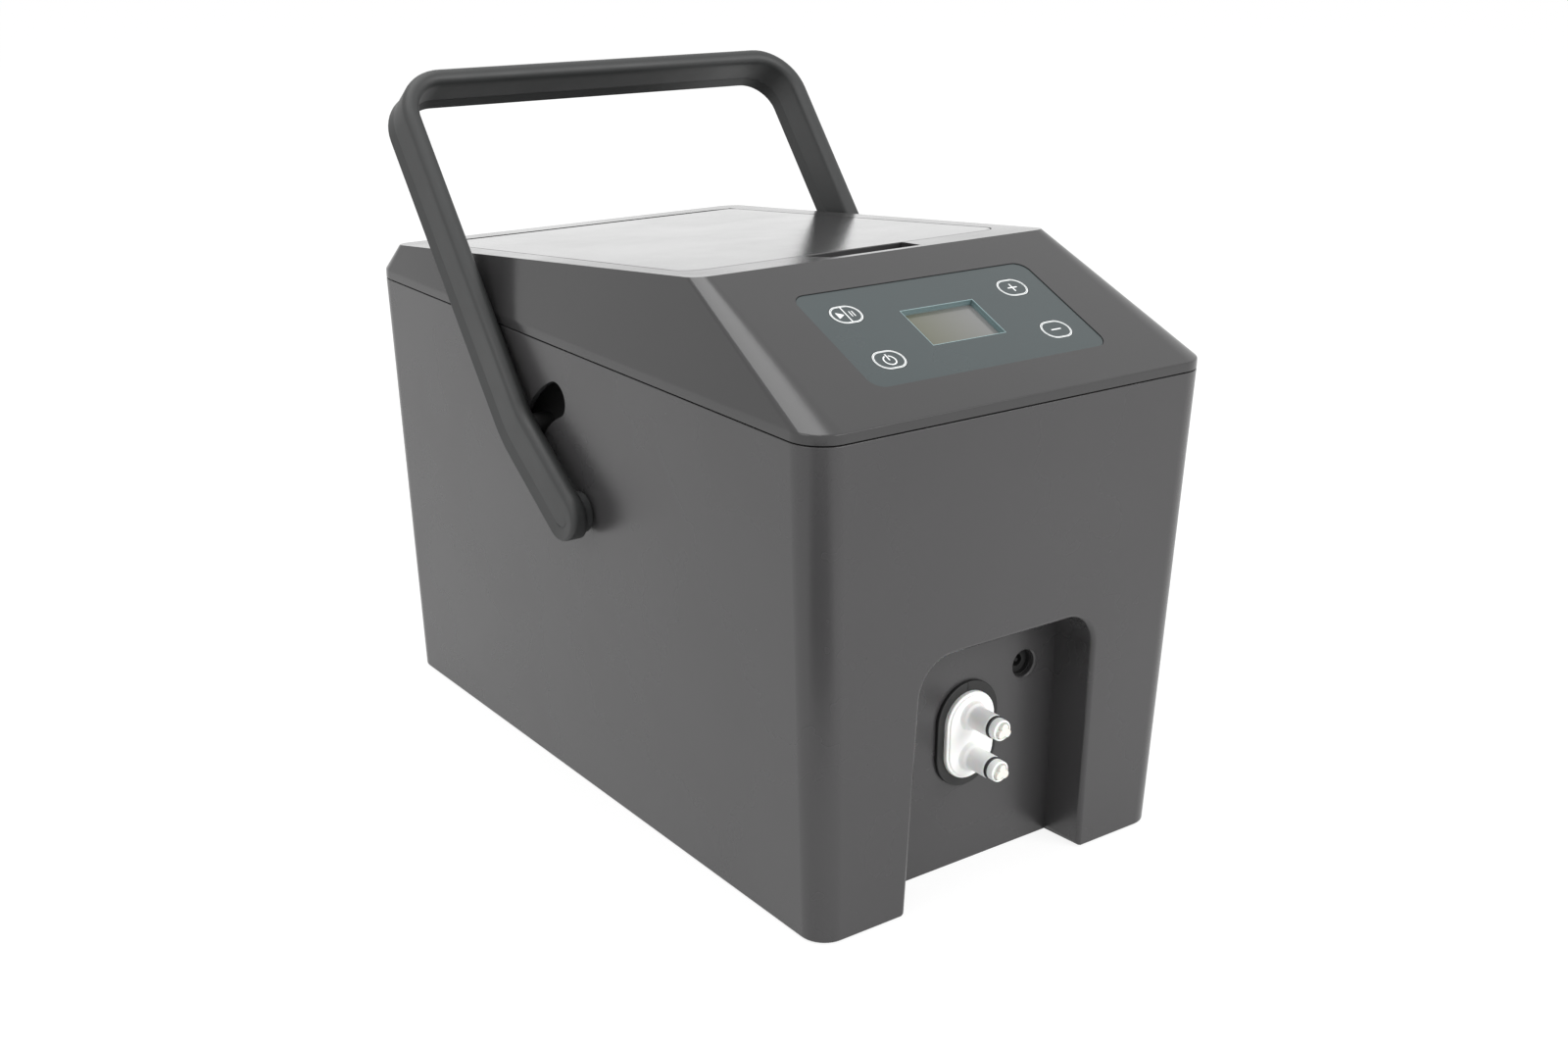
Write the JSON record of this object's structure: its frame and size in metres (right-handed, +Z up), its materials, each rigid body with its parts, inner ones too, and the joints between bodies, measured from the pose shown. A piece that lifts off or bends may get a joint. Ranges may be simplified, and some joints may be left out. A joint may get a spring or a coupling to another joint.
{
  "type": "hot cold therapy machine",
  "caption": "Portable hot and cold therapy machine: a drafted tub with a wedge cover, top access door, sloped console, twin hose coupling in a niche and a dog-leg bail handle.",
  "frame": {"origin": "on the floor under the middle of the housing", "axes": "+Z up, +Y from the console and niche end to the back, +X across the machine"},
  "size_m": [0.264, 0.412, 0.3597],
  "materials": {
    "shell": "satin, fine moulded grain",
    "cover": "semi-gloss",
    "handle": "satin",
    "facia": "gloss",
    "display": "clear window over a grey liquid crystal glass",
    "valve": "satin",
    "seal": "matte",
    "liner": "satin",
    "foam": "foam, matte",
    "steel": "plain",
    "board": "solder mask",
    "pump": "satin",
    "wire": "cable sheath"
  },
  "bodies": {
    "machine": {"outer_housing": "shell", "base_plate": "shell", "base_screws": "steel", "feet": "seal", "tank_liner": "liner", "tank_gasket": "seal", "tank_strainer": "liner", "insulation": "foam", "cover": "cover", "cover_screws": "steel", "hinge_pins": "steel", "control_panel": "facia", "display_module": "display", "control_board": "board", "board_screws": "steel", "pivot_bushes": "valve", "coupling_body": "valve", "coupling_gasket": "seal", "nipple_o_rings": "seal", "power_jack": "pump", "jack_nut": "steel", "pump_housing": "pump", "pump_motor": "steel", "pump_bracket": "steel", "suction_hose": "seal", "supply_hose": "seal", "return_hose": "seal", "wiring": "wire"},
    "bail": {"handle": "handle", "stop_pegs": "handle", "pivot_pins": "steel", "pivot_clips": "steel"},
    "door": {"access_door": "cover", "door_liner": "liner", "door_seal": "seal"},
    "play_pause": {"play_pause_key": "facia"},
    "power": {"power_key": "facia"},
    "plus": {"plus_key": "facia"},
    "minus": {"minus_key": "facia"},
    "supply_valve": {"supply_poppet": "valve"},
    "return_valve": {"return_poppet": "valve"},
    "impeller": {"pump_impeller": "valve"}
  },
  "joints": [
    {"name": "handle_swing", "type": "hinge", "parent": "machine", "child": "bail", "pos_m": [0, -0.016, 0.16], "axis": [-1, 0, 0], "range_deg": [-31, 19]},
    {"name": "door_swing", "type": "hinge", "parent": "machine", "child": "door", "pos_m": [0, 0.16587, 0.25799], "axis": [-1, 0, 0], "range_deg": [0, 64]},
    {"name": "play_pause_press", "type": "slide", "parent": "machine", "child": "play_pause", "axis": [0, 0.4124, -0.911], "range_m": [0, 0.0008], "stiffness_N_per_m": 500, "springref_m": -0.001},
    {"name": "power_press", "type": "slide", "parent": "machine", "child": "power", "axis": [0, 0.4124, -0.911], "range_m": [0, 0.0008], "stiffness_N_per_m": 500, "springref_m": -0.001},
    {"name": "plus_press", "type": "slide", "parent": "machine", "child": "plus", "axis": [0, 0.4124, -0.911], "range_m": [0, 0.0008], "stiffness_N_per_m": 500, "springref_m": -0.001},
    {"name": "minus_press", "type": "slide", "parent": "machine", "child": "minus", "axis": [0, 0.4124, -0.911], "range_m": [0, 0.0008], "stiffness_N_per_m": 500, "springref_m": -0.001},
    {"name": "supply_valve_slide", "type": "slide", "parent": "machine", "child": "supply_valve", "axis": [0, 1, 0], "range_m": [0, 0.003], "stiffness_N_per_m": 300, "springref_m": -0.002},
    {"name": "return_valve_slide", "type": "slide", "parent": "machine", "child": "return_valve", "axis": [0, 1, 0], "range_m": [0, 0.003], "stiffness_N_per_m": 300, "springref_m": -0.002},
    {"name": "impeller_spin", "type": "hinge", "parent": "machine", "child": "impeller", "pos_m": [0.045, -0.112, 0.052], "axis": [0, 1, 0], "continuous": true}
  ]
}
